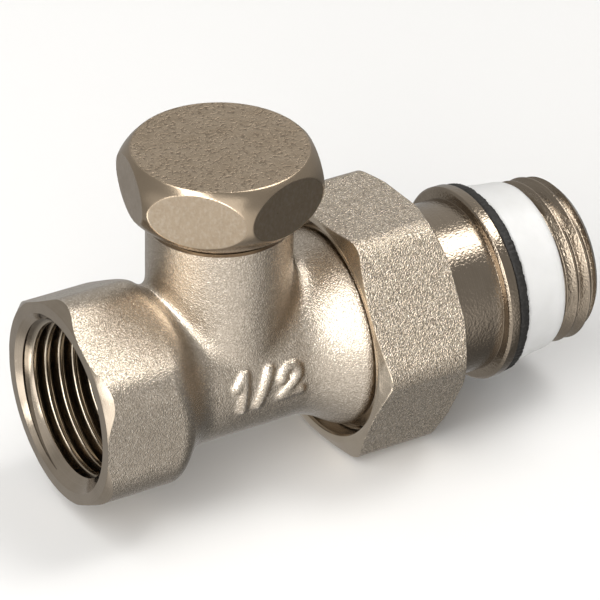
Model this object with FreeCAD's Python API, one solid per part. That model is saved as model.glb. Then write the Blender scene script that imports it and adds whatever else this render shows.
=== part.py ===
import FreeCAD, Part
import math
import os

os.makedirs("parts", exist_ok=True)
V = FreeCAD.Vector

# Straight manual radiator valve. Millimetres.
# X runs along the pipe from the inlet face (x = 0) to the radiator end,
# Z runs up the regulating spindle, Y away from the front.

# inlet
INLET_AF = 24.6             # hexagon across flats, corners up and down
INLET_CORNER_R = 3.8        # rounding of the forged hexagon corners
INLET_FACE_R = 12.39        # turned end face
INLET_THREAD_R = 10.48      # G 1/2 female, root radius of the thread
INLET_CHAMFER = 0.45
INLET_DEPTH = 11.2
HEX_BACK_X = 9.3            # hexagon starts to fall towards the pipe
HEX_FOOT_X = 12.9
HEX_FOOT_R = 10.8

# pipe, neck and flare of the body
PIPE_R = 9.4
NECK_X = 21.53
NECK_R = 8.7
NECK_TOP = 19.1
FLARE = [(28.2, 9.4), (30.4, 9.72), (32.3, 10.5), (34.0, 11.55), (35.1, 12.2), (35.77, 12.41)]
UNION_ROOT_R = 12.06        # G 3/4 male, root radius of the thread
UNION_END = 41.4
CAP_THREAD_ROOT_R = 7.1     # male thread for the cap
NECK_RIM = 25.1

# water way
SEAT_R = 3.8
PLUG_BORE_R = 5.05
SPINDLE_BORE_R = 5.75
SPINDLE_BORE_Z = 16.5
SNAP_Z = (23.6, 24.5)
SNAP_GROOVE_R = 6.45
INLET_WAY_R, INLET_WAY_Z = 3.0, -4.35
OUTLET_WAY_R, OUTLET_WAY_Z = 3.2, 4.1
OUTLET_BORE_R = 8.0
UNION_SEAT_R = 10.4

# cap
CAP_AF = 21.58
CAP_FLAT_ANGLE = -43.67     # normal of one flat, from the front towards the radiator end
CAP_MID_Z, CAP_MID_R2, CAP_BOW = 24.75, 150.0, 2.847
CAP_RIM, CAP_TOP, CAP_TOP_R = 19.55, 28.67, 10.5
CAP_BORE_R = 7.75
CAP_CEILING = 26.6

# union nut
NUT_AF = 29.6
NUT_CORNER_R = 2.8
NUT_CORNER_ANGLE = 62.8     # one corner, from the front upwards
NUT_X0, NUT_X1 = 34.97, 46.93
NUT_MOUTH_R = 14.1
NUT_THREAD_R = 13.3
NUT_HOLE_R = 11.05
NUT_SHOULDER_X = 44.2

# tailpiece
TAIL_R = 10.8
TAIL_BORE_R = 6.8
TAIL_HEX_AF = 12.0
TAIL_X0, TAIL_X1 = 39.6, 69.7
COLLAR_X0, COLLAR_X1, COLLAR_R = 55.05, 56.74, 12.2
RING_SEAT_R = 9.5
THREAD_X0 = 64.35
THREAD_R = 10.4

# spindle, closed
SPINDLE_R = 4.98
SPINDLE_THREAD_R = 5.7
SPINDLE_TOP = 19.6
SOCKET_AF = 6.0
SOCKET_FLOOR = 15.2
ORING_Z = (9.1, 11.9)


def revolve_x(points):
    """Solid of revolution about the pipe axis from (x, r) points."""
    wire = Part.makePolygon([V(x, 0, r) for x, r in points] + [V(points[0][0], 0, points[0][1])])
    return Part.Face(wire).revolve(V(0, 0, 0), V(1, 0, 0), 360)


def revolve_z(points):
    """Solid of revolution about the spindle axis from (r, z) points."""
    wire = Part.makePolygon([V(NECK_X + r, 0, z) for r, z in points] + [V(NECK_X + points[0][0], 0, points[0][1])])
    return Part.Face(wire).revolve(V(NECK_X, 0, 0), V(0, 0, 1), 360)


def solid(shape):
    shape = shape.removeSplitter()
    if shape.ShapeType != "Solid":
        shape = shape.Solids[0] if len(shape.Solids) == 1 else shape
    return shape


def cyl_x(r, x0, x1, z=0.0):
    return Part.makeCylinder(r, x1 - x0, V(x0, 0, z), V(1, 0, 0))


def cyl_z(r, z0, z1):
    return Part.makeCylinder(r, z1 - z0, V(NECK_X, 0, z0), V(0, 0, 1))


def hex_x(af, corner_deg, x0, x1, corner_r=0.0):
    """Hexagonal prism along the pipe; corner_deg from the front upwards."""
    big = af / math.sqrt(3.0)
    pts = []
    for k in range(6):
        a = math.radians(corner_deg + 60 * k)
        pts.append(V(x0, -big * math.cos(a), big * math.sin(a)))
    prism = Part.Face(Part.makePolygon(pts + [pts[0]])).extrude(V(x1 - x0, 0, 0))
    if corner_r:
        edges = [e for e in prism.Edges if abs(e.tangentAt(e.FirstParameter).x) > 0.99]
        prism = prism.makeFillet(corner_r, edges)
    return prism


def hex_z(af, normal_deg, z0, z1):
    """Hexagonal prism along the spindle; normal_deg from the front towards the radiator end."""
    big = af / math.sqrt(3.0)
    pts = []
    for k in range(6):
        a = math.radians(normal_deg + 30 + 60 * k)
        pts.append(V(NECK_X + big * math.sin(a), -big * math.cos(a), z0))
    return Part.Face(Part.makePolygon(pts + [pts[0]])).extrude(V(0, 0, z1 - z0))


def torus_z(big, small, z):
    return Part.makeTorus(big, small, V(NECK_X, 0, z), V(0, 0, 1))


def torus_x(big, small, x):
    return Part.makeTorus(big, small, V(x, 0, 0), V(1, 0, 0))


def save(name, shape):
    shape = solid(shape)
    shape.exportStep("parts/%s.step" % name)


# ---------------------------------------------------------------- valve body
hexagon = hex_x(INLET_AF, 90.0, 0.0, 15.4, INLET_CORNER_R)
envelope = revolve_x([(0, 0), (0, INLET_FACE_R), (1.9, INLET_FACE_R + 1.9), (HEX_BACK_X, INLET_FACE_R + 1.9),
                      (HEX_FOOT_X, HEX_FOOT_R), (13.6, 10.25), (14.4, 9.75), (15.4, 9.4), (15.4, 0)])
inlet = hexagon.common(envelope)

flare_edge = Part.BSplineCurve()
flare_edge.interpolate([V(x, 0, r) for x, r in FLARE], InitialTangent=V(1, 0, 0), FinalTangent=V(1, 0, 0.25))
flare_wire = Part.Wire([
    Part.LineSegment(V(10, 0, 0), V(10, 0, PIPE_R)).toShape(),
    Part.LineSegment(V(10, 0, PIPE_R), V(FLARE[0][0], 0, PIPE_R)).toShape(),
    flare_edge.toShape(),
    Part.LineSegment(V(FLARE[-1][0], 0, FLARE[-1][1]), V(FLARE[-1][0], 0, 0)).toShape(),
    Part.LineSegment(V(FLARE[-1][0], 0, 0), V(10, 0, 0)).toShape(),
])
pipe = Part.Face(flare_wire).revolve(V(0, 0, 0), V(1, 0, 0), 360)
neck = revolve_z([(0, 0), (NECK_R, 0), (NECK_R, NECK_TOP - 0.45), (NECK_R - 0.4, NECK_TOP), (0, NECK_TOP)])
forging = inlet.fuse(pipe).fuse(neck).removeSplitter()

body = forging.fuse(revolve_x([(35.5, 0), (35.5, UNION_ROOT_R), (UNION_END - 0.6, UNION_ROOT_R),
                               (UNION_END, UNION_ROOT_R - 0.6), (UNION_END, 0)]))
body = body.fuse(revolve_z([(0, 18), (CAP_THREAD_ROOT_R, 18), (CAP_THREAD_ROOT_R, NECK_RIM - 0.3),
                            (CAP_THREAD_ROOT_R - 0.3, NECK_RIM), (0, NECK_RIM)]))

inlet_bore = revolve_x([(-1, 0), (-1, INLET_THREAD_R + INLET_CHAMFER + 1), (0, INLET_THREAD_R + INLET_CHAMFER),
                        (INLET_CHAMFER, INLET_THREAD_R), (INLET_DEPTH, INLET_THREAD_R), (13.2, 8.0), (14.4, 7.6), (14.4, 0)])
body = body.cut(inlet_bore)
body = body.cut(cyl_x(INLET_WAY_R, 14.0, NECK_X + 3.2, INLET_WAY_Z))
body = body.cut(cyl_z(SEAT_R, INLET_WAY_Z, 0.2))
neck_bore = revolve_z([(0, 0), (PLUG_BORE_R, 0), (PLUG_BORE_R, SPINDLE_BORE_Z), (SPINDLE_BORE_R, SPINDLE_BORE_Z + 0.6),
                       (SPINDLE_BORE_R, SNAP_Z[0]), (SNAP_GROOVE_R, SNAP_Z[0]), (SNAP_GROOVE_R, SNAP_Z[1]),
                       (SPINDLE_BORE_R, SNAP_Z[1]), (SPINDLE_BORE_R, NECK_RIM - 0.2), (SPINDLE_BORE_R + 0.4, NECK_RIM + 0.2),
                       (0, NECK_RIM + 0.2)])
body = body.cut(neck_bore)
body = body.cut(cyl_x(OUTLET_WAY_R, NECK_X, 33.0, OUTLET_WAY_Z))
outlet_bore = revolve_x([(31.5, 0), (31.5, OUTLET_BORE_R - 0.5), (32.0, OUTLET_BORE_R), (UNION_END - UNION_SEAT_R + OUTLET_BORE_R, OUTLET_BORE_R),
                         (UNION_END, UNION_SEAT_R), (UNION_END + 1, UNION_SEAT_R), (UNION_END + 1, 0)])
body = body.cut(outlet_bore)


# raised nominal size on the front of the pipe: a one, a slash and a two
MARK_R = 9.8
MARK_W = 1.15


def ribbon(points, wide):
    """Flat-ended stroke of even width through (x, z) points, cut off at the mark's outer radius."""
    left, right = [], []
    n = len(points)
    for i, (x, z) in enumerate(points):
        dirs = []
        for a, b in ((i - 1, i), (i, i + 1)):
            if a >= 0 and b < n:
                dx, dz = points[b][0] - points[a][0], points[b][1] - points[a][1]
                size = math.hypot(dx, dz)
                dirs.append((dx / size, dz / size))
        tx, tz = sum(d[0] for d in dirs) / len(dirs), sum(d[1] for d in dirs) / len(dirs)
        size = math.hypot(tx, tz)
        reach = 0.5 * wide / max(size, 0.55)
        nx, nz = -tz / size, tx / size
        left.append(V(x + nx * reach, -12.0, z + nz * reach))
        right.append(V(x - nx * reach, -12.0, z - nz * reach))
    ring = left + right[::-1]
    bar = Part.Face(Part.makePolygon(ring + [ring[0]])).extrude(V(0, 4.2, 0))
    return bar.common(cyl_x(MARK_R, 16.0, 30.0))


marks = [
    ribbon([(18.75, 1.2), (20.0, 2.75), (19.75, -1.9)], MARK_W),
    ribbon([(23.35, 2.75), (21.55, -1.85)], MARK_W),
    ribbon([(24.85, 1.0), (25.15, 2.0), (26.05, 2.5), (26.95, 2.1), (27.1, 1.2), (26.5, 0.25), (24.95, -1.5), (27.6, -1.4)], MARK_W * 0.85),
]
for mark in marks:
    body = body.fuse(mark)
save("valve_body", body)

# ---------------------------------------------------------------- regulating parts in the neck
spindle = revolve_z([(0, -0.5), (3.4, -0.5), (3.66, -0.2), (3.66, 1.31), (4.7, 1.31), (SPINDLE_R, 1.6),
                     (SPINDLE_R, ORING_Z[0] - 1.0), (3.75, ORING_Z[0] - 1.0), (3.75, ORING_Z[0] + 1.0), (SPINDLE_R, ORING_Z[0] + 1.0),
                     (SPINDLE_R, ORING_Z[1] - 1.0), (3.75, ORING_Z[1] - 1.0), (3.75, ORING_Z[1] + 1.0), (SPINDLE_R, ORING_Z[1] + 1.0),
                     (SPINDLE_R, 15.4), (4.7, 15.7), (4.7, 16.8), (5.2, 17.2), (SPINDLE_THREAD_R, 17.5), (SPINDLE_THREAD_R, SPINDLE_TOP - 0.4),
                     (SPINDLE_THREAD_R - 0.4, SPINDLE_TOP), (0, SPINDLE_TOP)])
spindle = spindle.cut(hex_z(SOCKET_AF, 0.0, SOCKET_FLOOR, SPINDLE_TOP + 1))
spindle = spindle.cut(revolve_z([(0, -1), (1.95, -1), (1.95, 8.2), (2.3, 8.6), (2.3, SOCKET_FLOOR + 0.1), (0, SOCKET_FLOOR + 0.1)]))
save("spindle", spindle)
save("spindle_o_ring_lower", torus_z(4.40, 0.63, ORING_Z[0]))
save("spindle_o_ring_upper", torus_z(4.40, 0.63, ORING_Z[1]))
save("seat_seal_ring", torus_z(4.30, 0.61, 0.68))

preset = revolve_z([(0, -2.6), (0.5, -2.6), (1.88, 0.0), (1.88, 4.95), (1.10, 4.95), (1.10, 6.05), (1.88, 6.05), (1.88, 8.4),
                    (1.7, 8.7), (1.7, 9.2), (2.25, 9.6), (2.25, 14.2), (2.0, 14.5), (0, 14.5)])
preset = preset.cut(Part.makeBox(0.9, 6.0, 2.0, V(NECK_X - 0.45, -3.0, 13.3)))
save("preset_screw", preset)
save("preset_o_ring", torus_z(1.52, 0.40, 5.5))

snap = revolve_z([(4.9, SNAP_Z[0] + 0.05), (6.38, SNAP_Z[0] + 0.05), (6.38, SNAP_Z[1] - 0.05), (4.9, SNAP_Z[1] - 0.05)])
gap = Part.makeBox(8, 2.4, 4, V(NECK_X, -1.2, SNAP_Z[0] - 1.5))
lug = Part.makeBox(1.5, 2.0, SNAP_Z[1] - SNAP_Z[0] - 0.1, V(NECK_X + 4.1, 1.2, SNAP_Z[0] + 0.05))
lug2 = lug.mirror(V(NECK_X, 0, 0), V(0, 1, 0))
snap = snap.cut(gap).fuse(lug).fuse(lug2)
for side in (-1, 1):
    snap = snap.cut(Part.makeCylinder(0.45, 3, V(NECK_X + 4.85, side * 2.2, SNAP_Z[0] - 1), V(0, 0, 1)))
save("spindle_snap_ring", snap)

# ---------------------------------------------------------------- cap
side_z = [CAP_RIM + (28.25 - CAP_RIM) * i / 12.0 for i in range(13)]
side = [V(NECK_X + math.sqrt(CAP_MID_R2 - CAP_BOW * (z - CAP_MID_Z) ** 2), 0, z) for z in side_z]
cap_curve = Part.BSplineCurve()
cap_curve.interpolate(side)
edge_curve = Part.BSplineCurve()
edge_curve.interpolate([side[-1], V(NECK_X + 10.70, 0, 28.48), V(NECK_X + 10.60, 0, 28.61), V(NECK_X + CAP_TOP_R - 0.06, 0, CAP_TOP)],
                       FinalTangent=V(-1, 0, 0), InitialTangent=cap_curve.tangent(cap_curve.LastParameter)[0])
cap_wire = Part.Wire([
    Part.LineSegment(V(NECK_X, 0, CAP_RIM), side[0]).toShape(),
    cap_curve.toShape(),
    edge_curve.toShape(),
    Part.LineSegment(V(NECK_X + CAP_TOP_R - 0.06, 0, CAP_TOP), V(NECK_X, 0, CAP_TOP)).toShape(),
    Part.LineSegment(V(NECK_X, 0, CAP_TOP), V(NECK_X, 0, CAP_RIM)).toShape(),
])
cap = Part.Face(cap_wire).revolve(V(NECK_X, 0, 0), V(0, 0, 1), 360)
cap = cap.common(hex_z(CAP_AF, CAP_FLAT_ANGLE, CAP_RIM - 1, CAP_TOP + 1))
cap = cap.cut(revolve_z([(0, CAP_RIM - 0.2), (CAP_BORE_R + 0.6, CAP_RIM - 0.2), (CAP_BORE_R, CAP_RIM + 0.4), (CAP_BORE_R, 25.0),
                         (7.45, 25.3), (7.45, CAP_CEILING), (0, CAP_CEILING)]))
save("hex_cap", cap)
save("cap_seal_washer", revolve_z([(4.4, NECK_RIM + 0.05), (7.3, NECK_RIM + 0.05), (7.3, CAP_CEILING - 0.05), (4.4, CAP_CEILING - 0.05)]))

# ---------------------------------------------------------------- union nut
nut = hex_x(NUT_AF, NUT_CORNER_ANGLE, NUT_X0, NUT_X1, NUT_CORNER_R)
nut = nut.common(revolve_x([(NUT_X0, 0), (NUT_X0, 14.45), (NUT_X0 + 1.1, 17.4), (NUT_X1 - 1.55, 17.4), (NUT_X1, 15.0), (NUT_X1, 0)]))
nut = nut.cut(revolve_x([(NUT_X0 - 0.3, 0), (NUT_X0 - 0.3, NUT_MOUTH_R + 0.3), (NUT_X0 + 0.4, NUT_MOUTH_R - 0.4), (NUT_X0 + 0.5, 13.6), (37.5, 13.6), (37.8, NUT_THREAD_R),
                         (42.0, NUT_THREAD_R), (42.6, 12.1), (NUT_SHOULDER_X, 12.1), (NUT_SHOULDER_X, NUT_HOLE_R),
                         (NUT_X1 - 0.3, NUT_HOLE_R), (NUT_X1 + 0.2, NUT_HOLE_R + 0.5), (NUT_X1 + 0.2, 0)]))
save("union_nut", nut)

# ---------------------------------------------------------------- tailpiece with its rings
tail = revolve_x([(TAIL_X0, 0), (TAIL_X0, 8.46), (41.5, 10.36), (41.75, 10.36), (41.75, 10.6), (41.95, TAIL_R), (42.55, TAIL_R), (42.55, 10.0), (44.15, 10.0),
                  (44.15, TAIL_R), (COLLAR_X0, TAIL_R), (COLLAR_X0, COLLAR_R - 0.35), (COLLAR_X0 + 0.35, COLLAR_R),
                  (COLLAR_X1 - 0.25, COLLAR_R), (COLLAR_X1, COLLAR_R - 0.25), (COLLAR_X1, RING_SEAT_R), (THREAD_X0, RING_SEAT_R),
                  (THREAD_X0 + 0.35, THREAD_R), (TAIL_X1 - 0.95, THREAD_R), (TAIL_X1, 9.45), (TAIL_X1, 0)])
tail = tail.cut(revolve_x([(TAIL_X0 - 1, 0), (TAIL_X0 - 1, TAIL_BORE_R), (60.0, TAIL_BORE_R), (60.9, 5.9), (60.9, 0)]))
tail = tail.cut(hex_x(TAIL_HEX_AF, 90.0, 60.2, TAIL_X1 + 1))
tail = tail.cut(revolve_x([(TAIL_X1 - 0.6, 0), (TAIL_X1 - 0.6, 6.5), (TAIL_X1 + 0.4, 7.5), (TAIL_X1 + 0.4, 0)]))
tail = tail.cut(torus_x(8.96, 0.71, 40.94))
save("tailpiece", tail)
save("union_o_ring", torus_x(8.96, 0.68, 40.94))

clip = torus_x(10.80, 0.75, 43.35)
clip = clip.cut(Part.makeBox(4, 2.6, 14, V(41.35, -1.3, 0)))
save("nut_retaining_ring", clip)

save("rubber_ring", revolve_x([(COLLAR_X1 + 0.04, 9.55), (COLLAR_X1 + 0.04, 11.85), (COLLAR_X1 + 0.3, 12.02), (57.8, 12.02),
                               (58.1, 11.8), (58.1, 9.55)]))
ptfe_curve = Part.BSplineCurve()
ptfe_curve.interpolate([V(58.15, 0, 11.2), V(58.5, 0, 11.32), V(60.0, 0, 11.15), V(62.0, 0, 10.84), V(63.5, 0, 10.72), V(64.1, 0, 10.55), V(64.3, 0, 10.3)])
ptfe_wire = Part.Wire([
    Part.LineSegment(V(58.15, 0, 9.55), V(58.15, 0, 11.2)).toShape(),
    ptfe_curve.toShape(),
    Part.LineSegment(V(64.3, 0, 10.3), V(64.3, 0, 9.55)).toShape(),
    Part.LineSegment(V(64.3, 0, 9.55), V(58.15, 0, 9.55)).toShape(),
])
save("ptfe_ring", Part.Face(ptfe_wire).revolve(V(0, 0, 0), V(1, 0, 0), 360))
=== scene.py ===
import math

import bmesh
import bpy
import numpy as np
from mathutils import Matrix, Vector


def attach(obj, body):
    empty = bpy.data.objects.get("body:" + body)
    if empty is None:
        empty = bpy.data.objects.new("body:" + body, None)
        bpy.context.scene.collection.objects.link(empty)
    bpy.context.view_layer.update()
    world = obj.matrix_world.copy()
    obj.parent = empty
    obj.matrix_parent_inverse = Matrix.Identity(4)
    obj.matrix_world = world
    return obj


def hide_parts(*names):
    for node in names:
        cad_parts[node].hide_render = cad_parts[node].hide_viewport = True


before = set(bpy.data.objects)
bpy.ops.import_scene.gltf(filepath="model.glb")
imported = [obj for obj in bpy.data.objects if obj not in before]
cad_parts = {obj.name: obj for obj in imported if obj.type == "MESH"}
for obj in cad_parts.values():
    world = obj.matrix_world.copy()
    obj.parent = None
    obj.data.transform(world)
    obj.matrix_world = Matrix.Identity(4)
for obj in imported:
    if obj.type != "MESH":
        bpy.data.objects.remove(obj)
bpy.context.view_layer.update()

MM = 0.001
NECK_X = 21.53
TAU = 2.0 * math.pi
rng = np.random.default_rng(7)


# ------------------------------------------------------------------ materials
class Mat:
    """Small helper round one node material."""

    def __init__(self, name):
        self.m = bpy.data.materials.new(name)
        self.m.use_nodes = True
        self.t = self.m.node_tree
        self.t.nodes.clear()
        self.out = self.n("ShaderNodeOutputMaterial")
        self.p = self.n("ShaderNodeBsdfPrincipled")
        self.t.links.new(self.p.outputs[0], self.out.inputs[0])
        self.co = self.n("ShaderNodeTexCoord").outputs["Object"]

    def n(self, kind, **props):
        node = self.t.nodes.new(kind)
        for k, v in props.items():
            setattr(node, k, v)
        return node

    def link(self, a, b):
        self.t.links.new(a, b)

    def put(self, node, **values):
        for k, v in values.items():
            sock = node.inputs[k.replace("_", " ")]
            if isinstance(v, bpy.types.NodeSocket):
                self.link(v, sock)
            else:
                sock.default_value = v
        return node

    def stretch(self, scale, rot=(0, 0, 0)):
        node = self.n("ShaderNodeMapping")
        self.put(node, Vector=self.co, Scale=scale, Rotation=rot)
        return node.outputs[0]

    def noise(self, scale, detail=2.0, rough=0.5, vec=None, w=None):
        node = self.n("ShaderNodeTexNoise")
        self.put(node, Vector=vec or self.co, Scale=scale, Detail=detail, Roughness=rough)
        return node.outputs["Fac"]

    def cells(self, scale, feature="F1", random=1.0, vec=None, out="Distance"):
        node = self.n("ShaderNodeTexVoronoi", feature=feature)
        self.put(node, Vector=vec or self.co, Scale=scale, Randomness=random)
        return node.outputs[out]

    def math(self, op, a, b=0.0, c=0.0, clamp=False):
        node = self.n("ShaderNodeMath", operation=op, use_clamp=clamp)
        for sock, v in zip(node.inputs, (a, b, c)):
            if isinstance(v, bpy.types.NodeSocket):
                self.link(v, sock)
            else:
                sock.default_value = v
        return node.outputs[0]

    def range(self, v, a, b, c, d):
        node = self.n("ShaderNodeMapRange")
        node.clamp = True
        self.put(node, Value=v, From_Min=a, From_Max=b, To_Min=c, To_Max=d)
        return node.outputs[0]

    def mix(self, fac, a, b):
        node = self.n("ShaderNodeMix", data_type="RGBA")
        for key, v in ((0, fac), (6, a), (7, b)):
            if isinstance(v, bpy.types.NodeSocket):
                self.link(v, node.inputs[key])
            else:
                node.inputs[key].default_value = v
        return node.outputs[2]

    def mixf(self, fac, a, b):
        node = self.n("ShaderNodeMix", data_type="FLOAT")
        for key, v in ((0, fac), (2, a), (3, b)):
            if isinstance(v, bpy.types.NodeSocket):
                self.link(v, node.inputs[key])
            else:
                node.inputs[key].default_value = v
        return node.outputs[0]

    def attr(self, name):
        return self.n("ShaderNodeAttribute", attribute_name=name).outputs["Fac"]

    def bump(self, height, distance, strength=1.0, normal=None):
        node = self.n("ShaderNodeBump")
        self.put(node, Height=height, Distance=distance)
        if isinstance(strength, bpy.types.NodeSocket):
            self.link(strength, node.inputs["Strength"])
        else:
            node.inputs["Strength"].default_value = strength
        if normal is not None:
            self.link(normal, node.inputs["Normal"])
        return node.outputs[0]


NICKEL = (0.44, 0.375, 0.302, 1)
NICKEL_DARK = (0.335, 0.278, 0.213, 1)
NICKEL_LIGHT = (0.54, 0.475, 0.395, 1)


def dents(m, grain):
    """Height of overlapping small round dents, as shot leaves them."""
    a = m.cells(1.0 / grain)
    b = m.cells(1.0 / (grain * 0.66), vec=m.stretch((1.13, 0.93, 1.07), (0.4, 0.7, 0.2)))
    h = m.math("ADD", m.math("MULTIPLY", a, a), m.math("MULTIPLY", m.math("MULTIPLY", b, b), 0.62))
    return m.math("ADD", h, m.math("MULTIPLY", m.noise(1.1 / grain, 1.0, 0.5), 0.30))


def blasted(name, grain, depth, rough, base=NICKEL, dark=NICKEL_DARK, light=NICKEL_LIGHT):
    """Plated skin over shot-blasted metal: overlapping small dents, seen as sparkle."""
    m = Mat(name)
    wavy = m.noise(420.0, 2.0)
    normal = m.bump(wavy, 0.00012, 0.5)
    normal = m.bump(dents(m, grain), depth, 1.0, normal)
    cloud = m.noise(190.0, 3.0, 0.6)
    speck = m.cells(1.0 / (grain * 0.8), out="Color", vec=m.stretch((1.0, 1.0, 1.0), (0.3, 0.1, 0.6)))
    tone = m.n("ShaderNodeSeparateColor")
    m.link(speck, tone.inputs[0])
    color = m.mix(m.range(cloud, 0.35, 0.7, 0.0, 0.55), base, dark)
    color = m.mix(m.range(tone.outputs[0], 0.6, 1.0, 0.0, 0.9), color, light)
    color = m.mix(m.range(tone.outputs[0], 0.35, 0.0, 0.0, 0.75), color, dark)
    m.put(m.p, Base_Color=color, Normal=normal, Roughness=m.range(cloud, 0.3, 0.7, rough - 0.04, rough + 0.05))
    m.p.inputs["Metallic"].default_value = 1.0
    return m.m


def turned(name, rough, lines=0.00012, depth=0.000004, axis="X", base=NICKEL, light=NICKEL_LIGHT, dark=NICKEL_DARK, pits=0.35, peel=1700.0):
    """Plated skin over turned metal: fine rings round the axis, few small pits."""
    m = Mat(name)
    sep = m.n("ShaderNodeSeparateXYZ")
    m.link(m.co, sep.inputs[0])
    comb = m.n("ShaderNodeCombineXYZ")
    along = sep.outputs[axis]
    if axis == "Z":
        dx = m.math("SUBTRACT", sep.outputs["X"], NECK_X * MM)
        radial = m.math("SQRT", m.math("ADD", m.math("MULTIPLY", dx, dx), m.math("MULTIPLY", sep.outputs["Y"], sep.outputs["Y"])))
    else:
        radial = m.math("SQRT", m.math("ADD", m.math("MULTIPLY", sep.outputs["Y"], sep.outputs["Y"]), m.math("MULTIPLY", sep.outputs["Z"], sep.outputs["Z"])))
    m.link(along, comb.inputs[0])
    m.link(radial, comb.inputs[1])
    rings = m.noise(1.0 / lines, 2.0, 0.6, vec=comb.outputs[0])
    orange = m.noise(peel, 2.0, 0.5)
    pit = m.noise(5200.0, 1.0, 0.5)
    normal = m.bump(orange, 0.00002, pits)
    normal = m.bump(rings, depth, 0.8, normal)
    normal = m.bump(m.range(pit, 0.68, 0.76, 1.0, 0.0), 0.000008, 0.6, normal)
    cloud = m.noise(240.0, 3.0, 0.6)
    color = m.mix(m.range(cloud, 0.35, 0.7, 0.0, 0.5), base, dark)
    color = m.mix(m.range(rings, 0.5, 0.75, 0.0, 0.45), color, light)
    m.put(m.p, Base_Color=color, Normal=normal, Roughness=m.range(rings, 0.3, 0.7, rough - 0.04, rough + 0.06))
    m.p.inputs["Metallic"].default_value = 1.0
    return m.m


def cap_material():
    """Cap: grained top, satin turned barrel, ground flats."""
    m = Mat("cap_nickel_skin")
    top, flat = m.attr("top"), m.attr("flat")
    # top: close set small irregular pits over orange peel
    pit = m.range(m.noise(2700.0, 2.0, 0.5), 0.50, 0.66, 0.0, 1.0)
    peel = m.noise(4200.0, 2.0, 0.55)
    top_h = m.math("SUBTRACT", m.math("MULTIPLY", peel, 0.8), m.math("MULTIPLY", pit, 1.0))
    # flats: fine grain with faint upright grinding marks
    grind = m.noise(2600.0, 2.0, 0.6, vec=m.stretch((1.0, 1.0, 0.6)))
    flat_h = m.math("ADD", grind, m.math("MULTIPLY", m.noise(6000.0, 2.0, 0.6), 0.45))
    # barrel: rings and a little peel
    rings = m.noise(6000.0, 2.0, 0.6, vec=m.stretch((0.02, 0.02, 1.0)))
    soft = m.noise(1500.0, 2.0, 0.5)
    nrm = m.bump(m.math("ADD", soft, m.math("MULTIPLY", rings, 0.12)), 0.000016, 0.6)
    nrm = m.bump(flat_h, 0.000016, m.math("MULTIPLY", flat, 0.8), nrm)
    nrm = m.bump(top_h, 0.000050, m.math("MULTIPLY", top, 1.0), nrm)
    cloud = m.noise(260.0, 3.0, 0.6)
    base = m.mix(m.range(cloud, 0.35, 0.7, 0.0, 0.55), (0.42, 0.338, 0.25, 1), (0.315, 0.247, 0.175, 1))
    base = m.mix(m.math("MULTIPLY", m.range(grind, 0.45, 0.7, 0.0, 0.35), flat), base, NICKEL_LIGHT)
    base = m.mix(m.math("MULTIPLY", m.range(m.noise(700.0, 3.0, 0.6), 0.45, 0.7, 0.0, 0.6), top), base, (0.29, 0.227, 0.16, 1))
    # painted shade: the pits on the top are painted darker
    base = m.mix(m.math("MULTIPLY", pit, m.math("MULTIPLY", top, 0.75)), base, (0.19, 0.146, 0.102, 1))
    base = m.mix(m.math("MULTIPLY", m.range(m.noise(3000.0, 3.0, 0.65), 0.48, 0.68, 0.0, 0.30), flat), base, (0.27, 0.213, 0.152, 1))
    rough = m.mixf(flat, 0.22, 0.30)
    rough = m.mixf(top, rough, 0.40)
    rough = m.math("ADD", rough, m.range(cloud, 0.3, 0.7, -0.03, 0.04))
    m.put(m.p, Base_Color=base, Normal=nrm, Roughness=rough)
    m.p.inputs["Metallic"].default_value = 1.0
    return m.m


def nut_material():
    """Nut: coarse blasted hexagon, turned ends and bore."""
    m = Mat("nut_nickel_skin")
    cut = m.attr("machined")
    g = 0.00021
    h = dents(m, g)
    keep = m.math("SUBTRACT", 1.0, cut)
    sep = m.n("ShaderNodeSeparateXYZ")
    m.link(m.co, sep.inputs[0])
    radial = m.math("SQRT", m.math("ADD", m.math("MULTIPLY", sep.outputs["Y"], sep.outputs["Y"]), m.math("MULTIPLY", sep.outputs["Z"], sep.outputs["Z"])))
    comb = m.n("ShaderNodeCombineXYZ")
    m.link(sep.outputs["X"], comb.inputs[0])
    m.link(radial, comb.inputs[1])
    rings = m.noise(7000.0, 2.0, 0.6, vec=comb.outputs[0])
    nrm = m.bump(m.noise(420.0, 2.0), 0.00010, 0.5)
    nrm = m.bump(h, 0.000075, keep, nrm)
    nrm = m.bump(rings, 0.000004, cut, nrm)
    cloud = m.noise(190.0, 3.0, 0.6)
    tone = m.n("ShaderNodeSeparateColor")
    m.link(m.cells(1.0 / (g * 0.8), out="Color", vec=m.stretch((1.0, 1.0, 1.0), (0.3, 0.1, 0.6))), tone.inputs[0])
    color = m.mix(m.range(cloud, 0.35, 0.7, 0.0, 0.4), (0.585, 0.505, 0.405, 1), (0.505, 0.43, 0.34, 1))
    color = m.mix(m.math("MULTIPLY", m.range(tone.outputs[0], 0.4, 0.0, 0.0, 0.9), keep), color, NICKEL_DARK)
    color = m.mix(m.math("MULTIPLY", m.range(tone.outputs[0], 0.6, 1.0, 0.0, 0.8), keep), color, (0.68, 0.61, 0.52, 1))
    rough = m.mixf(cut, 0.23, 0.18)
    m.put(m.p, Base_Color=color, Normal=nrm, Roughness=m.math("ADD", rough, m.range(cloud, 0.3, 0.7, -0.03, 0.04)))
    m.p.inputs["Metallic"].default_value = 1.0
    return m.m


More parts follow.
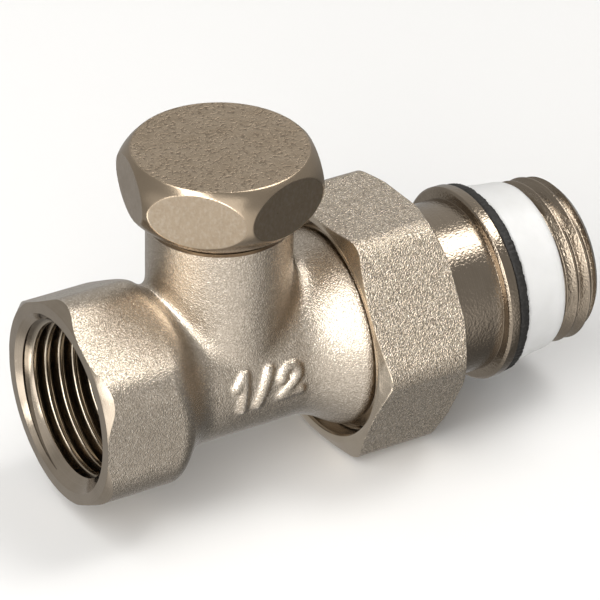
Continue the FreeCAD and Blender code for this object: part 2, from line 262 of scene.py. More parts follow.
def inlet_material():
    """Female thread: grooves painted dark, painted shade in the bore; crests painted lighter, a painted highlight."""
    m = Mat("turned_nickel_inlet")
    sep = m.n("ShaderNodeSeparateXYZ")
    m.link(m.co, sep.inputs[0])
    radial = m.math("SQRT", m.math("ADD", m.math("MULTIPLY", sep.outputs["Y"], sep.outputs["Y"]), m.math("MULTIPLY", sep.outputs["Z"], sep.outputs["Z"])))
    inlet_mottle = m.noise(900.0, 3.0, 0.6)
    # painted highlight on the crests, painted shade in the grooves
    crest = m.range(m.math("ADD", radial, m.range(inlet_mottle, 0.3, 0.7, -0.00003, 0.00003)), 0.00945, 0.00990, 1.0, 0.0)
    groove_painted_shade = m.mix(m.range(inlet_mottle, 0.35, 0.7, 0.0, 1.0), (0.15, 0.122, 0.092, 1), (0.20, 0.165, 0.125, 1))
    color = m.mix(crest, groove_painted_shade, (0.46, 0.40, 0.322, 1))
    nrm = m.bump(m.noise(2400.0, 2.0, 0.5), 0.000010, 0.5)
    m.put(m.p, Base_Color=color, Normal=nrm, Roughness=m.range(inlet_mottle, 0.3, 0.7, 0.13, 0.20))
    m.p.inputs["Metallic"].default_value = 1.0
    return m.m


def rubber(name):
    m = Mat(name)
    dust = m.noise(2600.0, 4.0, 0.65)
    blot = m.noise(500.0, 3.0, 0.6)
    color = m.mix(m.range(dust, 0.5, 0.75, 0.0, 0.5), (0.012, 0.011, 0.010, 1), (0.05, 0.046, 0.04, 1))
    nrm = m.bump(m.math("ADD", m.noise(1800.0, 3.0, 0.6), m.math("MULTIPLY", dust, 0.6)), 0.00006, 0.7)
    m.put(m.p, Base_Color=color, Normal=nrm, Roughness=m.range(blot, 0.3, 0.7, 0.5, 0.72))
    m.p.inputs["Specular IOR Level"].default_value = 0.35
    return m.m


def ptfe():
    m = Mat("white_ptfe_skin")
    cloud = m.noise(320.0, 3.0, 0.6)
    turn = m.noise(4200.0, 2.0, 0.6, vec=m.stretch((1.0, 0.03, 0.03)))
    color = m.mix(m.range(cloud, 0.35, 0.7, 0.0, 0.6), (0.59, 0.59, 0.587, 1), (0.545, 0.545, 0.54, 1))
    nrm = m.bump(m.math("ADD", turn, m.math("MULTIPLY", m.noise(2100.0, 3.0), 0.6)), 0.000012, 0.6)
    m.put(m.p, Base_Color=color, Normal=nrm, Roughness=m.range(cloud, 0.3, 0.7, 0.38, 0.5))
    m.p.inputs["Subsurface Weight"].default_value = 0.15
    m.p.inputs["Subsurface Radius"].default_value = (0.0006, 0.0006, 0.0005)
    m.p.inputs["Subsurface Scale"].default_value = 1.0
    return m.m


def steel():
    m = Mat("spring_steel_skin")
    cloud = m.noise(900.0, 3.0, 0.6)
    color = m.mix(m.range(cloud, 0.35, 0.7, 0.0, 1.0), (0.16, 0.16, 0.165, 1), (0.30, 0.295, 0.29, 1))
    m.put(m.p, Base_Color=color, Normal=m.bump(m.noise(5000.0, 3.0), 0.00001, 0.6), Roughness=m.range(cloud, 0.3, 0.7, 0.32, 0.48))
    m.p.inputs["Metallic"].default_value = 1.0
    return m.m


SKIN = blasted("forged_nickel_skin", 0.00018, 0.000034, 0.21, base=(0.555, 0.486, 0.403, 1), dark=(0.43, 0.369, 0.295, 1), light=(0.675, 0.604, 0.518, 1))
CUT_X = turned("turned_nickel_pipe", 0.15, axis="X")
INLET = inlet_material()
CUT_Z = turned("turned_nickel_neck", 0.17, axis="Z")
DEEP = turned("turned_nickel_deep", 0.32, axis="X")
# painted shade: the tailpiece's plated colour is painted darker than the rest of the plating
TAIL = turned("turned_nickel_tail", 0.13, axis="X", depth=0.000004, pits=2.8, peel=3300.0, base=(0.305, 0.255, 0.20, 1), light=(0.42, 0.36, 0.29, 1), dark=(0.225, 0.184, 0.139, 1))
BRASS = turned("bare_brass_turned", 0.26, axis="Z", base=(0.62, 0.43, 0.17, 1), light=(0.74, 0.55, 0.26, 1), dark=(0.50, 0.33, 0.12, 1))
CAP = cap_material()
NUT = nut_material()
SEAL = rubber("seal_rubber_skin")
BLACK = rubber("black_rubber_skin")
WHITE = ptfe()
STEEL = steel()


# ------------------------------------------------------------------ mesh tools
def make(name, verts, faces, mats, face_mat=None, attrs=None, sharp=32.0):
    """Object from millimetre points."""
    me = bpy.data.meshes.new(name)
    me.from_pydata((np.asarray(verts, float) * MM).tolist(), [], [list(f) for f in faces])
    for m in mats:
        me.materials.append(m)
    if face_mat is not None:
        me.polygons.foreach_set("material_index", np.asarray(face_mat, np.int32))
    for key, values in (attrs or {}).items():
        a = me.attributes.new(key, "FLOAT", "POINT")
        a.data.foreach_set("value", np.asarray(values, np.float32))
    me.validate()
    me.update()
    ob = bpy.data.objects.new(name, me)
    bpy.context.scene.collection.objects.link(ob)
    smooth(ob, sharp)
    return ob


def smooth(ob, sharp):
    me = ob.data
    me.polygons.foreach_set("use_smooth", np.ones(len(me.polygons), bool))
    me.set_sharp_from_angle(angle=math.radians(sharp))
    me.update()


class Thread:
    """Right-hand screw thread between two places on the axis. A crest passes `at`, modulo the pitch, at angle 0."""

    def __init__(self, x0, x1, pitch, root, crest, at=0.0, fade=(0.8, 0.8), section=None, back=False):
        self.x0, self.x1, self.pitch, self.root, self.crest = x0, x1, pitch, root, crest
        self.at, self.fade, self.section, self.back = at, fade, section or SECTION, back


# one pitch of a thread: place within the pitch, height
SECTION = [(0.0, 0.0), (0.045, 0.012), (0.085, 0.055), (0.415, 0.92), (0.4426, 0.964), (0.4757, 0.993), (0.5, 1.0),
           (0.5243, 0.993), (0.5574, 0.964), (0.585, 0.92), (0.915, 0.055), (0.955, 0.012)]
# tapped thread with bored crests: narrower grooves, flat lands between
TAPPED = [(0.0, 0.0), (0.03, 0.010), (0.055, 0.05), (0.30, 0.86), (0.325, 0.925), (0.355, 0.972), (0.395, 1.0),
          (0.605, 1.0), (0.645, 0.972), (0.675, 0.925), (0.70, 0.86), (0.945, 0.05), (0.97, 0.010)]


def thread_block(th, n):
    """Points (place, radius, column) of a thread whose grid lines run along the helix, between two plain rings."""
    m, p = len(th.section), th.pitch
    s = th.at + 0.5 * p
    s += math.floor((th.x0 - s) / p) * p
    last = m * int(math.ceil((th.x1 - s) / p + 1))
    i, j = np.arange(last + 1), np.arange(n)
    u = np.array([q[0] for q in th.section])[i % m] + i // m - 1
    h = np.array([q[1] for q in th.section])[i % m][:, None]
    eps = 0.0006
    x = s + (u[:, None] + j[None, :] / n) * p
    x = np.clip(x, (th.x0 + eps * (i + 1) / (last + 2))[:, None], (th.x1 - eps * (last + 1 - i) / (last + 2))[:, None])
    fade = np.clip((x - th.x0) / th.fade[0], 0, 1) * np.clip((th.x1 - x) / th.fade[1], 0, 1)
    r = th.root + h * (th.crest - th.root) * fade
    ends = np.array([[th.x0] * n, [th.x1] * n])
    end_r = np.full((2, n), float(th.root))
    a = np.concatenate([ends[0], x.ravel(), ends[1]])
    r = np.concatenate([end_r[0], r.ravel(), end_r[1]])
    col = np.concatenate([j, np.tile(j, last + 1), j])

    def at(ii, jj):
        return n + ii * n + jj

    top = n + (last + 1) * n
    faces = []
    for k in range(last):
        q = j[:-1]
        faces += np.stack([at(k, q), at(k, q + 1), at(k + 1, q + 1), at(k + 1, q)], 1).tolist()
        if k + m + 1 <= last:
            faces.append([at(k, n - 1), at(k + m, 0), at(k + m + 1, 0), at(k + 1, n - 1)])
    q = j[:-1]
    faces += np.stack([q, q + 1, at(0, q + 1), at(0, q)], 1).tolist()
    faces.append([n - 1, 0, at(m, 0), at(0, n - 1)])
    faces += [[0, at(k, 0), at(k + 1, 0)] for k in range(m)]
    faces += np.stack([at(last, q), at(last, q + 1), top + q + 1, top + q], 1).tolist()
    faces.append([at(last - m, n - 1), at(last, 0), top, top + n - 1])
    faces += [[top + n - 1, at(k + 1, n - 1), at(k, n - 1)] for k in range(last - m, last)]
    return a, r, col, faces, j, top + j


def spin(sections, n, axis="X", closed=False):
    """Points, faces and, per point, the number of its section, of a piece turned about the pipe or the neck.
    A section is (place, radius), each a number or n numbers, or a Thread. An open piece is closed on the axis at both ends, a closed one joins its last section to its first."""
    place, radius, column, owner, faces, rings = [], [], [], [], [], []
    count = 0
    for number, sec in enumerate(sections):
        if isinstance(sec, Thread):
            a, r, c, f, first, final = thread_block(sec, n)
            faces += (np.array([q for q in f if len(q) == 4]) + count).tolist() + (np.array([q for q in f if len(q) == 3]) + count).tolist()
            if sec.back:
                first, final = final, first
        else:
            a = np.broadcast_to(np.asarray(sec[0], float), (n,))
            r = np.broadcast_to(np.asarray(sec[1], float), (n,))
            c = np.arange(n)
            first = final = np.arange(n)
        place.append(a)
        radius.append(r)
        column.append(c)
        owner.append(np.full(len(a), number))
        rings.append((first + count, final + count))
        count += len(a)
    k = (np.arange(n) + 1) % n
    pairs = list(zip(rings[:-1], rings[1:])) + ([(rings[-1], rings[0])] if closed else [])
    for (_, a), (b, _) in pairs:
        faces += np.stack([a, a[k], b[k], b], 1).tolist()
    a, r = np.concatenate(place), np.concatenate(radius)
    phi = np.concatenate(column) * TAU / n
    owner = np.concatenate(owner)
    if axis == "X":
        verts = np.stack([a, r * np.cos(phi), r * np.sin(phi)], 1)
    else:
        verts = np.stack([NECK_X + r * np.cos(phi), r * np.sin(phi), a], 1)
    if not closed:
        for ring, number, flip in ((rings[0][0], 0, False), (rings[-1][1], len(sections) - 1, True)):
            mid = float(np.mean(a[ring]))
            tip = [mid, 0.0, 0.0] if axis == "X" else [NECK_X, 0.0, mid]
            fan = np.stack([np.full(n, len(verts)), ring[k], ring], 1)
            verts = np.concatenate([verts, [tip]])
            owner = np.append(owner, number)
            faces += (fan[:, ::-1] if flip else fan).tolist()
    return verts, faces, owner


def outward(ob):
    """Points that fall together merged, faces pointing out of the solid."""
    bm = bmesh.new()
    bm.from_mesh(ob.data)
    bmesh.ops.remove_doubles(bm, verts=bm.verts, dist=1.3e-6)
    bmesh.ops.recalc_face_normals(bm, faces=bm.faces)
    if bm.calc_volume(signed=True) < 0:
        bmesh.ops.reverse_faces(bm, faces=bm.faces)
    bm.to_mesh(ob.data)
    bm.free()
    return ob


def line(a, b, step):
    """Points from a to b, b left out, at most step apart."""
    n = max(1, int(math.ceil(math.hypot(b[0] - a[0], b[1] - a[1]) / step)))
    return [(a[0] + (b[0] - a[0]) * i / n, a[1] + (b[1] - a[1]) * i / n) for i in range(n)]


def rounded(points, radius, steps=3):
    """Corners of an open (place, radius) line taken off by a small arc."""
    out = [points[0]]
    for i in range(1, len(points) - 1):
        p, a, b = np.array(points[i], float), np.array(points[i - 1], float), np.array(points[i + 1], float)
        ua, ub = (a - p), (b - p)
        la, lb = np.linalg.norm(ua), np.linalg.norm(ub)
        cut = min(radius, 0.45 * la, 0.45 * lb)
        s, e = p + ua / la * cut, p + ub / lb * cut
        for t in np.linspace(0.0, 1.0, steps + 1):
            out.append(tuple((1 - t) ** 2 * s + 2 * t * (1 - t) * p + t * t * e))
    out.append(points[-1])
    return out


def boolean(ob, other, how):
    mod = ob.modifiers.new("cut", "BOOLEAN")
    mod.operation = how
    mod.solver = "MANIFOLD"
    mod.material_mode = "TRANSFER"
    mod.object = other
    bpy.context.view_layer.update()
    deps = bpy.context.evaluated_depsgraph_get()
    me = bpy.data.meshes.new_from_object(ob.evaluated_get(deps), preserve_all_data_layers=True, depsgraph=deps)
    ob.modifiers.clear()
    old = ob.data
    ob.data = me
    me.name = ob.name
    bpy.data.meshes.remove(old)
    bpy.data.objects.remove(other, do_unlink=True)
    return ob


def smin(a, b, k):
    h = np.maximum(k - np.abs(a - b), 0.0) / np.maximum(k, 1e-6)
    return np.minimum(a, b) - h * h * k * 0.25


def smax(a, b, k):
    return -smin(-a, -b, k)


# ------------------------------------------------------------------ forged body
FLARE = np.array([(28.2, 9.4), (30.4, 9.72), (32.3, 10.5), (34.0, 11.55), (35.1, 12.2), (35.77, 12.41)])


def flare_radius(x):
    """Pipe radius along x, with a smooth bell at the union end."""
    xs, rs = FLARE[:, 0], FLARE[:, 1]
    d = np.gradient(rs, xs)
    d[0], d[-1] = 0.0, 0.2
    i = np.clip(np.searchsorted(xs, x) - 1, 0, len(xs) - 2)
    h = xs[i + 1] - xs[i]
    t = np.clip((x - xs[i]) / h, 0.0, 1.0)
    r = (2 * t**3 - 3 * t**2 + 1) * rs[i] + (t**3 - 2 * t**2 + t) * h * d[i] + (-2 * t**3 + 3 * t**2) * rs[i + 1] + (t**3 - t**2) * h * d[i + 1]
    return np.where(x < xs[0], rs[0], r)


MARK = [
    [(18.85, 1.45), (19.95, 2.75), (19.5, -1.75)],
    [(23.25, 2.6), (21.6, -1.65)],
    [(24.9, 0.95), (25.15, 1.75), (25.75, 2.3), (26.45, 2.3), (26.98, 1.8), (27.0, 1.05), (26.5, 0.25), (24.85, -1.3), (27.4, -1.25)],
]


def mark_distance(x, s):
    best = np.full(x.shape, 9.0)
    for path in MARK:
        for (x0, s0), (x1, s1) in zip(path[:-1], path[1:]):
            dx, ds = x1 - x0, s1 - s0
            t = np.clip(((x - x0) * dx + (s - s0) * ds) / (dx * dx + ds * ds), 0.0, 1.0)
            best = np.minimum(best, np.hypot(x - x0 - t * dx, s - s0 - t * ds))
    return best


def forging(p):
    """Signed distance, about, of the forged blank before machining."""
    x, y, z = p[..., 0], p[..., 1], p[..., 2]
    r = np.sqrt(y * y + z * z) + 1e-9
    # hexagon, corners up and down, rounded
    af, rc = 12.3, np.where(z > 0, 4.7, 6.3)
    px, py = np.abs(z), np.abs(y)
    kx, ky, kz = -0.8660254, 0.5, 0.5773503
    d = 2.0 * np.minimum(kx * px + ky * py, 0.0)
    px, py = px - d * kx, py - d * ky
    a = af - rc
    px = px - np.clip(px, -kz * a, kz * a)
    py = py - a
    hexa = np.hypot(px, py) * np.sign(py) - rc
    back = 0.696 * (x - 9.3) + 0.718 * (r - 14.29)
    hexa = smax(hexa, back, 0.9)
    hexa = np.maximum(hexa, x - 15.6)
    # pipe and bell
    f = flare_radius(x)
    g = (flare_radius(x + 0.02) - flare_radius(x - 0.02)) / 0.04
    pipe = (r - f) / np.sqrt(1.0 + g * g)
    pipe = np.maximum(pipe, 8.0 - x)
    # neck, with a root radius that dies out where neck and pipe run into each other
    rn = np.sqrt((x - NECK_X) ** 2 + y * y) + 1e-9
    neck = np.maximum(rn - 8.7, -z)
    same = np.clip(y * y / (r * rn), 0.0, 1.0)
    d = smin(pipe, neck, 0.25 + 3.4 * (1.0 - same) ** 1.2)
    d = smin(d, hexa, 1.3)
    # raised size mark on the front
    s = 9.4 * np.arctan2(z, -y)
    near = (y < 0) & (x > 17) & (x < 29) & (np.abs(s) < 5) & (r > 7.5)
    if np.any(near):
        dm = np.full(x.shape, 9.0)
        md = mark_distance(x[near], s[near])
        dm[near] = np.sqrt(md * md + (r[near] - 9.4 + 0.38) ** 2) - 0.86
        d = smin(d, dm, 0.22)
    d = np.maximum(d, -2.0 - x)
    d = np.maximum(d, x - 35.77)
    return np.maximum(d, z - 19.22)


def surface(fn, lo, hi, h):
    """Quad surface where fn is zero, on a grid of step h, pulled onto it."""
    lo, hi = np.array(lo, float), np.array(hi, float)
    n = np.ceil((hi - lo) / h).astype(int) + 1
    axes = [lo[i] + np.arange(n[i]) * h for i in range(3)]
    val = np.empty(tuple(n), np.float32)
    yy, zz = np.meshgrid(axes[1], axes[2], indexing="ij")
    for i, x in enumerate(axes[0]):
        val[i] = fn(np.stack([np.full(yy.shape, x), yy, zz], -1))
    inside = val < 0
    m = n - 1
    corners = [(i, j, k) for i in (0, 1) for j in (0, 1) for k in (0, 1)]
    count = np.zeros(tuple(m), np.int8)
    for i, j, k in corners:
        count += inside[i:i + m[0], j:j + m[1], k:k + m[2]]
    cell = (count > 0) & (count < 8)
    index = -np.ones(tuple(m), np.int64)
    at = np.argwhere(cell)
    index[cell] = np.arange(len(at))
    total, hits = np.zeros((len(at), 3)), np.zeros(len(at))
    for ax in range(3):
        for c in corners:
            if c[ax]:
                continue
            a = at + np.array(c)
            b = a.copy()
            b[:, ax] += 1
            va, vb = val[tuple(a.T)], val[tuple(b.T)]
            cross = (va < 0) != (vb < 0)
            t = np.where(cross, va / np.where(va == vb, 1, va - vb), 0.0)
            p = lo + a * h
            p[:, ax] += t * h
            total[cross] += p[cross]
            hits[cross] += 1
    verts = total / hits[:, None]
    faces = []
    for ax in range(3):
        u, w = (ax + 1) % 3, (ax + 2) % 3
        sl_a, sl_b = [slice(None)] * 3, [slice(None)] * 3
        sl_a[ax], sl_b[ax] = slice(0, n[ax] - 1), slice(1, n[ax])
        a, b = inside[tuple(sl_a)], inside[tuple(sl_b)]
        e = np.argwhere(a != b)
        e = e[(e[:, u] > 0) & (e[:, w] > 0) & (e[:, u] < m[u]) & (e[:, w] < m[w])]
        first = a[tuple(e.T)]

        def cell_at(du, dw):
            q = e.copy()
            q[:, u] += du
            q[:, w] += dw
            return index[tuple(q.T)]

        quad = np.stack([cell_at(-1, -1), cell_at(0, -1), cell_at(0, 0), cell_at(-1, 0)], 1)
        quad[~first] = quad[~first][:, ::-1]
        faces.append(quad)
    faces = np.concatenate(faces)
    eps = 0.01
    for _ in range(4):
        v0 = fn(verts)
        grad = np.stack([(fn(verts + np.eye(3)[i] * eps) - fn(verts - np.eye(3)[i] * eps)) / (2 * eps) for i in range(3)], 1)
        size = np.maximum((grad * grad).sum(1), 0.25)
        move = -(v0 / size)[:, None] * grad
        far = np.linalg.norm(move, axis=1, keepdims=True)
        verts = verts + move * np.minimum(1.0, 0.5 * h / np.maximum(far, 1e-9))
    return verts, faces


STEP = 0.27
v, f = surface(forging, (-2.6, -15.0, -15.0), (36.6, 15.0, 20.0), STEP)
body = outward(make("body_forging", v, f, [SKIN, CUT_X, CUT_Z]))


def lathe(name, rows, axis, mat, n=160, closed=False):
    vv, ff, _ = spin(rows, n, axis, closed)
    return outward(make(name, vv, ff, [mat]))


def way_x(name, x0, x1, r, z):
    ob = lathe(name, [(x0, r), (x1, r)], "X", CUT_X, 56)
    ob.data.transform(Matrix.Translation((0, 0, z * MM)))
    return ob


# union spigot with its male thread
rows = [(35.2, 11.9), (36.0, 11.95), (36.3, 12.04)]
rows += [Thread(36.5, 41.1, 1.814, 12.06, 13.18, 0.0, (1.0, 0.6)), (41.15, 11.98), (41.4, 11.7)]
boolean(body, lathe("spigot", rows, "X", CUT_X), "UNION")

# neck top with the cap thread
rows = [(18.0, 7.0), (19.2, 7.0), (19.5, 7.08), Thread(19.6, 24.75, 1.0, 7.1, 7.66, 0.0, (0.6, 0.4)), (24.85, 7.05), (25.1, 6.8)]
boolean(body, lathe("neck_top", rows, "Z", CUT_Z), "UNION")

# turned edge of the neck under the cap: a ring cut round the outside
edge = [(18.92, 12.0), (18.92, 8.72), (18.95, 8.66), (19.13, 8.50), (19.18, 8.42), (19.19, 7.9), (19.7, 7.9), (19.7, 12.0)]
boolean(body, lathe("neck_edge", edge, "Z", CUT_Z, closed=True), "DIFFERENCE")

# inlet: female thread, then end face with its corner chamfer, then the countersink
rows = [(-1.8, 9.0), Thread(-1.6, 11.2, 1.814, 10.47, 9.34, -0.04, (0.1, 1.7), TAPPED), (11.3, 10.3), (11.5, 9.6)]
boolean(body, lathe("inlet_cut", rows, "X", INLET, 200), "DIFFERENCE")
boolean(body, lathe("inlet_deep", [(11.1, 9.2)] + rounded([(11.35, 10.32), (13.2, 8.0), (14.4, 7.6), (14.4, 0.3)], 0.3), "X", DEEP, 128), "DIFFERENCE")
boolean(body, lathe("inlet_face", rounded([(-4.0, 18.0), (3.2, 18.0), (3.2, 15.57), (0.0, 12.37), (0.0, 0.3)], 0.06), "X", CUT_X, 256), "DIFFERENCE")
boolean(body, lathe("inlet_sink", [(-0.5, 11.48), (-0.05, 11.03), (0.02, 10.95), (1.66, 9.30), (1.66, 0.3)], "X", CUT_X, 256), "DIFFERENCE")

# water way
boolean(body, way_x("inlet_way", 14.0, 24.73, 3.0, -4.35), "DIFFERENCE")
boolean(body, lathe("seat_hole", [(-4.35, 3.8), (0.2, 3.8)], "Z", CUT_Z, 64), "DIFFERENCE")
boolean(body, lathe("neck_bore", [(0.0, 5.05), (16.5, 5.05), (17.1, 5.75), (23.6, 5.75), (23.6, 6.45), (24.5, 6.45), (24.5, 5.75), (24.9, 5.75), (25.5, 6.35)], "Z", CUT_Z, 96), "DIFFERENCE")
boolean(body, way_x("outlet_way", 21.53, 33.0, 3.2, 4.1), "DIFFERENCE")
boolean(body, lathe("outlet_bore", [(31.5, 7.5), (32.0, 8.0), (39.0, 8.0), (41.4, 10.4), (42.4, 11.4)], "X", CUT_X, 128), "DIFFERENCE")
body.name = "valve_body_forged"
smooth(body, 28.0)
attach(body, "housing")
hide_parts("valve_body")


# ------------------------------------------------------------------ hexagon radius helpers
def hex_radius(phi, flat_normal, apothem, corner=0.0):
    """Distance from the middle to a hexagon's side at angle phi, corners rounded."""
    t = np.mod(phi - flat_normal + math.pi / 6, math.pi / 3) - math.pi / 6
    flat = apothem / np.cos(t)
    if corner <= 0:
        return flat
    c = (apothem - corner) / math.cos(math.pi / 6)
    delta = math.pi / 6 - np.abs(t)
    arc = c * np.cos(delta) + np.sqrt(np.maximum(corner**2 - (c * np.sin(delta)) ** 2, 0.0))
    on_flat = apothem * np.tan(np.abs(t)) <= (apothem - corner) * math.tan(math.pi / 6)
    return np.where(on_flat, flat, arc)


# ------------------------------------------------------------------ cap
n = 540
phi = np.arange(n) * TAU / n
# flat normals are given from the front (-Y) towards +X
flat_r = hex_radius(phi, math.radians(-43.67) - math.pi / 2, 10.91)
rows, top_v, flat_v = [], [], []


def cap_row(sec, is_top=0.0, on_flat=0.0):
    rows.append(sec)
    top_v.append(is_top)
    flat_v.append(on_flat)


def barrel(z):
    return math.sqrt(153.2 - (2.88 if z > 24.75 else 2.84) * (z - 24.75) ** 2)


# inside, from the ceiling out to the rim
for sec in [(26.6, 7.0), (26.6, 7.45), (25.3, 7.45), (25.05, 7.72), Thread(20.2, 24.9, 1.0, 7.74, 7.18, 0.5, (0.4, 0.4), back=True), (20.0, 7.76), (19.6, 8.05), (19.42, 8.16), (19.41, 8.38)]:
    cap_row(sec)
zs = np.concatenate([[19.43, 19.48, 19.6], np.arange(19.75, 21.0, 0.25), np.arange(21.0, 28.5, 0.10), [28.5, 28.58]])
for z in zs:
    rev = barrel(z) - max(0.0, 19.54 - z) * 0.7
    cap_row((z, smin(rev, flat_r, 0.04)), 0.0, np.clip((rev - flat_r) / 0.05, 0.0, 1.0))
for z, r, w in ((28.63, 10.455, 0.2), (28.66, 10.40, 0.6), (28.67, 10.33, 1.0), (28.67, 10.2, 1.0), (28.67, 9.4, 1.0), (28.67, 8.0, 1.0), (28.67, 6.0, 1.0), (28.67, 4.0, 1.0), (28.67, 2.0, 1.0), (28.67, 0.6, 1.0)):
    cap_row((z, r), w)
vv, ff, owner = spin(rows, n, "Z")


def spread(values):
    """Value per point from a number or n numbers per section."""
    out = np.zeros(len(owner), np.float32)
    for k, val in enumerate(values):
        where = np.flatnonzero(owner == k)
        if np.ndim(val):
            out[where[:n]] = val
        else:
            out[where] = val
    return out


cap = outward(make("hex_cap_plated", vv, ff, [CAP], attrs={"top": spread(top_v), "flat": spread(flat_v)}))
smooth(cap, 24.0)
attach(cap, "cap")
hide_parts("hex_cap")

# ------------------------------------------------------------------ union nut
n = 600
phi = np.arange(n) * TAU / n
# a corner 62.8 degrees from the front upwards; phi runs from +Y to +Z
corner = math.pi - math.radians(62.8)
side_r = hex_radius(phi, corner + math.pi / 6, 14.79, 2.8)
rows, cut_v = [], []


def nut_row(sec, cut):
    rows.append(sec)
    cut_v.append(cut)


# bore, from the back to the mouth
for sec in rounded([(46.93, 11.5), (46.55, 11.05), (44.2, 11.05), (44.2, 12.1), (42.7, 12.1), (42.3, 13.2)], 0.12):
    nut_row(sec, 1.0)
nut_row(Thread(37.8, 42.1, 1.814, 13.28, 12.2, 0.907, (0.8, 0.5), back=True), 1.0)
for sec in rounded([(37.7, 13.4), (37.45, 13.62), (35.45, 13.66), (35.22, 13.78), (35.10, 13.80), (34.99, 14.05), (34.99, 14.2), (34.97, 14.24), (34.97, 14.56)], 0.03)[:-1]:
    nut_row(sec, 1.0)
# outside
for x in np.concatenate([np.arange(34.97, 36.3, 0.05), np.linspace(36.3, 44.8, 14), np.arange(44.9, 46.93, 0.07), [46.93]]):
    env = min(14.58 + (x - 34.97) * 2.72, 15.18 + (46.93 - x) * 1.56)
    nut_row((x, smin(side_r, env, 0.05)), np.clip((side_r - env) / 0.06 + 0.3, 0.0, 1.0))
vv, ff, owner = spin(rows, n, "X", closed=True)
nut = outward(make("union_nut_plated", vv, ff, [NUT], attrs={"machined": spread(cut_v)}))
smooth(nut, 28.0)
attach(nut, "nut")
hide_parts("union_nut")

# ------------------------------------------------------------------ tailpiece
n = 320
phi = np.arange(n) * TAU / n
rows = []
outer = [(39.6, 7.0), (39.6, 8.46), (40.35, 9.21), (40.75, 9.4), (40.75, 8.3), (41.2, 8.3), (41.2, 9.9), (41.5, 10.36), (41.75, 10.36), (41.75, 10.6), (41.95, 10.8), (42.55, 10.8),
         (42.55, 10.0), (44.15, 10.0), (44.15, 10.8), (55.05, 10.8), (55.05, 11.9), (55.33, 12.2), (56.52, 12.2), (56.74, 11.98),
         (56.74, 9.5), (64.35, 9.5)]
outer = rounded(outer, 0.08)
for a, b in zip(outer[:-1], outer[1:]):
    rows += line(a, b, 1.0)
rows += [(64.35, 9.5), (64.42, 9.4), Thread(64.5, 71.8, 1.814, 9.3, 10.38, 1.70, (0.6, 0.6)), (72.0, 9.0)]
vv, ff, owner = spin(rows, n, "X")
tail = outward(make("tailpiece_turned", vv, ff, [TAIL]))
# thread end: face and chamfer
boolean(tail, lathe("tail_end", rounded([(69.66, 0.0), (69.7, 0.3), (69.7, 9.2), (68.45, 10.45), (68.4, 12.5), (72.5, 12.5)], 0.05)[2:], "X", TAIL, n), "DIFFERENCE")
# water way with a hexagon for the fitting key
key = hex_radius(phi, 0.0, 6.0)
rows = [(38.6, 8.0), (39.6, 7.0), (39.7, 6.9), (40.2, 6.8), (50.0, 6.8), (60.0, 6.8), (60.6, np.minimum(6.8, key + 0.3)), (61.2, key), (65.0, key), (68.9, key), (69.1, np.maximum(6.7, key)), (69.6, 7.2), (69.75, 7.4), (70.5, 8.2)]
boolean(tail, lathe("tail_way", rows, "X", TAIL, n), "DIFFERENCE")
smooth(tail, 28.0)
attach(tail, "tail")
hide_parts("tailpiece")

# soft rings on the tail, cut a little unevenly
n = 480
phi = np.arange(n) * TAU / n


def uneven(scale, waves):
    out = np.zeros(n)
    for w in waves:
        out += rng.normal() * np.cos(w * phi + rng.uniform(0, TAU)) / math.sqrt(len(waves))
    return out * scale


sec = [(56.78, 9.55, 0), (56.78, 11.2, 0), (56.80, 11.85, 0.4), (56.95, 11.97, 1), (57.25, 11.98, 1), (57.6, 11.98, 1), (57.9, 11.93, 1), (58.06, 11.75, 1), (58.10, 11.2, 0.4), (58.10, 9.55, 0)]
ragged = uneven(0.045, [5, 9, 13, 22, 31, 47, 61, 83, 97, 118])
ragged2 = uneven(0.055, [7, 11, 17, 29, 41, 53, 71, 89, 107, 131])
rows = [(x + (np.clip(ragged2 * w, -0.13, 0.04) if x > 57.3 else 0.0), np.minimum(r + ragged * w, 12.04)) for x, r, w in sec]
vv, ff, owner = spin(rows, n, "X", closed=True)
ring = outward(make("rubber_ring_black", vv, ff, [BLACK], sharp=50))
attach(ring, "tail")
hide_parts("rubber_ring")

sec = [(58.15, 9.56), (58.15, 11.0), (58.2, 11.18), (58.35, 11.28), (58.7, 11.31), (59.4, 11.24), (60.2, 11.12), (61.1, 10.98), (62.0, 10.84), (62.8, 10.77), (63.5, 10.71), (63.9, 10.62), (64.15, 10.48), (64.28, 10.28), (64.3, 9.9), (64.3, 9.56)]
wob = uneven(0.012, [3, 5, 8, 13])
rows = [(x, r + (wob if 10.2 < r < 11.3 else 0.0)) for x, r in sec]
vv, ff, owner = spin(rows, n, "X", closed=True)
white = outward(make("ptfe_ring_white", vv, ff, [WHITE], sharp=50))
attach(white, "tail")
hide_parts("ptfe_ring")

# ------------------------------------------------------------------ CAD nodes that stay
for node, mat in {
    "cap_seal_washer": SEAL, "spindle_o_ring_lower": SEAL, "spindle_o_ring_upper": SEAL, "seat_seal_ring": SEAL,
    "preset_o_ring": SEAL, "union_o_ring": SEAL, "spindle": BRASS, "preset_screw": BRASS,
    "spindle_snap_ring": STEEL, "nut_retaining_ring": STEEL,
}.items():
    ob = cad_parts[node]
    ob.data.materials.clear()
    ob.data.materials.append(mat)

# ------------------------------------------------------------------ stage
floor_mat = Mat("floor_white")
soft = floor_mat.noise(6.0, 2.0)
floor_mat.put(floor_mat.p, Base_Color=floor_mat.mix(soft, (0.66, 0.66, 0.66, 1), (0.68, 0.68, 0.68, 1)), Roughness=0.9)
floor_mat.p.inputs["Specular IOR Level"].default_value = 0.1
me = bpy.data.meshes.new("floor")
z = -0.0152
me.from_pydata([(-3, -3, z), (3, -3, z), (3, 3, z), (-3, 3, z)], [], [(0, 1, 2, 3)])
me.materials.append(floor_mat.m)
floor = bpy.data.objects.new("floor", me)
bpy.context.scene.collection.objects.link(floor)
floor.visible_glossy = False


def toward(azimuth, elevation):
    """Direction from the object; azimuth from the front (-Y) towards +X."""
    a, e = math.radians(azimuth), math.radians(elevation)
    return Vector((math.sin(a) * math.cos(e), -math.cos(a) * math.cos(e), math.sin(e)))


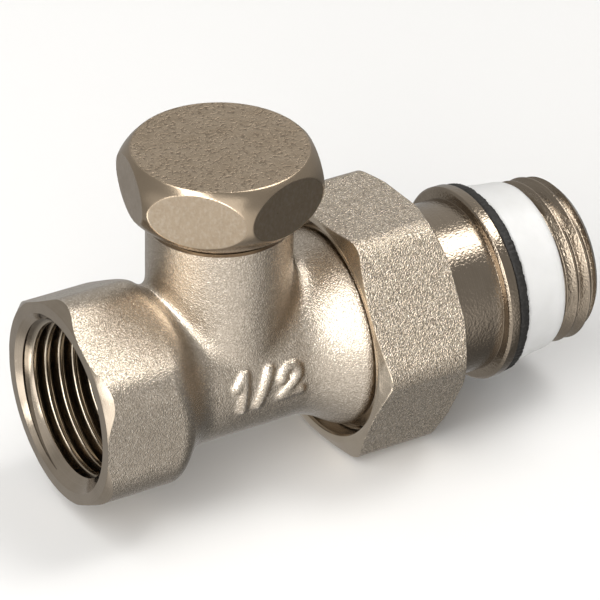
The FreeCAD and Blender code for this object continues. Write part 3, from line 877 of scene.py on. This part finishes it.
# the room: dim all round, with soft brighter parts (azimuth, elevation, full to, fades out by, amount)
world = bpy.data.worlds.new("studio")
bpy.context.scene.world = world
world.use_nodes = True
wt = world.node_tree
bg = wt.nodes["Background"]
bg.inputs[0].default_value = (1.0, 0.985, 0.96, 1)
way = wt.nodes.new("ShaderNodeTexCoord").outputs["Generated"]
total = None
for azimuth, elevation, full, gone, amount in (
    (-25.0, -22.0, 30.0, 62.0, 0.66),
    (-90.0, 10.0, 8.0, 30.0, 0.35),
    (75.0, -35.0, 15.0, 55.0, -0.28),
    (-88.0, -31.0, 4.0, 14.0, 4.0),
    (-62.0, -6.0, 6.0, 18.0, 1.4),
    (-68.0, 15.0, 5.0, 12.0, 3.5),
    (85.0, 62.0, 4.0, 18.0, 8.5),
    (150.0, 38.0, 12.0, 50.0, 0.2),
):
    dot = wt.nodes.new("ShaderNodeVectorMath")
    dot.operation = "DOT_PRODUCT"
    wt.links.new(way, dot.inputs[0])
    dot.inputs[1].default_value = toward(azimuth, elevation)
    ramp = wt.nodes.new("ShaderNodeMapRange")
    ramp.interpolation_type = "SMOOTHSTEP"
    wt.links.new(dot.outputs["Value"], ramp.inputs["Value"])
    ramp.inputs["From Min"].default_value = math.cos(math.radians(gone))
    ramp.inputs["From Max"].default_value = math.cos(math.radians(full))
    ramp.inputs["To Min"].default_value = 0.0
    ramp.inputs["To Max"].default_value = amount
    plus = wt.nodes.new("ShaderNodeMath")
    plus.operation = "ADD"
    wt.links.new(ramp.outputs[0], plus.inputs[0])
    if total is None:
        plus.inputs[1].default_value = 0.44
    else:
        wt.links.new(total, plus.inputs[1])
    total = plus.outputs[0]
wt.links.new(total, bg.inputs[1])


def area(name, azimuth, elevation, distance, size, radiance, long=(0.0, 90.0), color=(1.0, 0.99, 0.97)):
    """Soft box seen from the object at an azimuth (from the front towards +X) and an elevation, of a given radiance. Its second side runs towards `long`."""
    light = bpy.data.lights.new(name, "AREA")
    light.shape = "RECTANGLE"
    light.size, light.size_y = size
    light.energy = radiance * math.pi * size[0] * size[1]
    light.color = color
    ob = bpy.data.objects.new(name, light)
    to = toward(azimuth, elevation)
    ob.location = Vector((0.033, 0.0, 0.005)) + to * distance
    up = toward(*long)
    up = (up - to * up.dot(to)).normalized()
    ob.rotation_euler = Matrix((up.cross(to), up, to)).transposed().to_euler()
    bpy.context.scene.collection.objects.link(ob)
    return ob


area("key", -38.0, 28.0, 0.8, (0.88, 0.84), 1.0)
area("strip", -59.0, 43.0, 0.8, (0.26, 1.6), 6.2, (-95.0, 63.0))

# camera at the photograph's place
az, el, dist, roll = math.radians(-31.412), math.radians(32.002), 500.976, math.radians(1.310)
target = np.array([32.771, 0.0, 4.381])
back = np.array([math.sin(az) * math.cos(el), -math.cos(az) * math.cos(el), math.sin(el)])
right = np.cross(-back, [0, 0, 1.0])
right /= np.linalg.norm(right)
up = np.cross(right, -back)
r2 = math.cos(roll) * right + math.sin(roll) * up
u2 = -math.sin(roll) * right + math.cos(roll) * up
cam = bpy.data.cameras.new("camera")
cam.sensor_width = 36.0
cam.lens = 36.0 * 4190.199 / 600.0
cam.clip_start, cam.clip_end = 0.01, 20.0
co = bpy.data.objects.new("camera", cam)
m = Matrix.Identity(4)
pos = (target + back * dist) * MM
for i in range(3):
    m[i][0], m[i][1], m[i][2], m[i][3] = r2[i], u2[i], back[i], pos[i]
co.matrix_world = m
bpy.context.scene.collection.objects.link(co)
bpy.context.scene.camera = co
bpy.context.scene.view_settings.view_transform = "Standard"

bpy.context.view_layer.update()
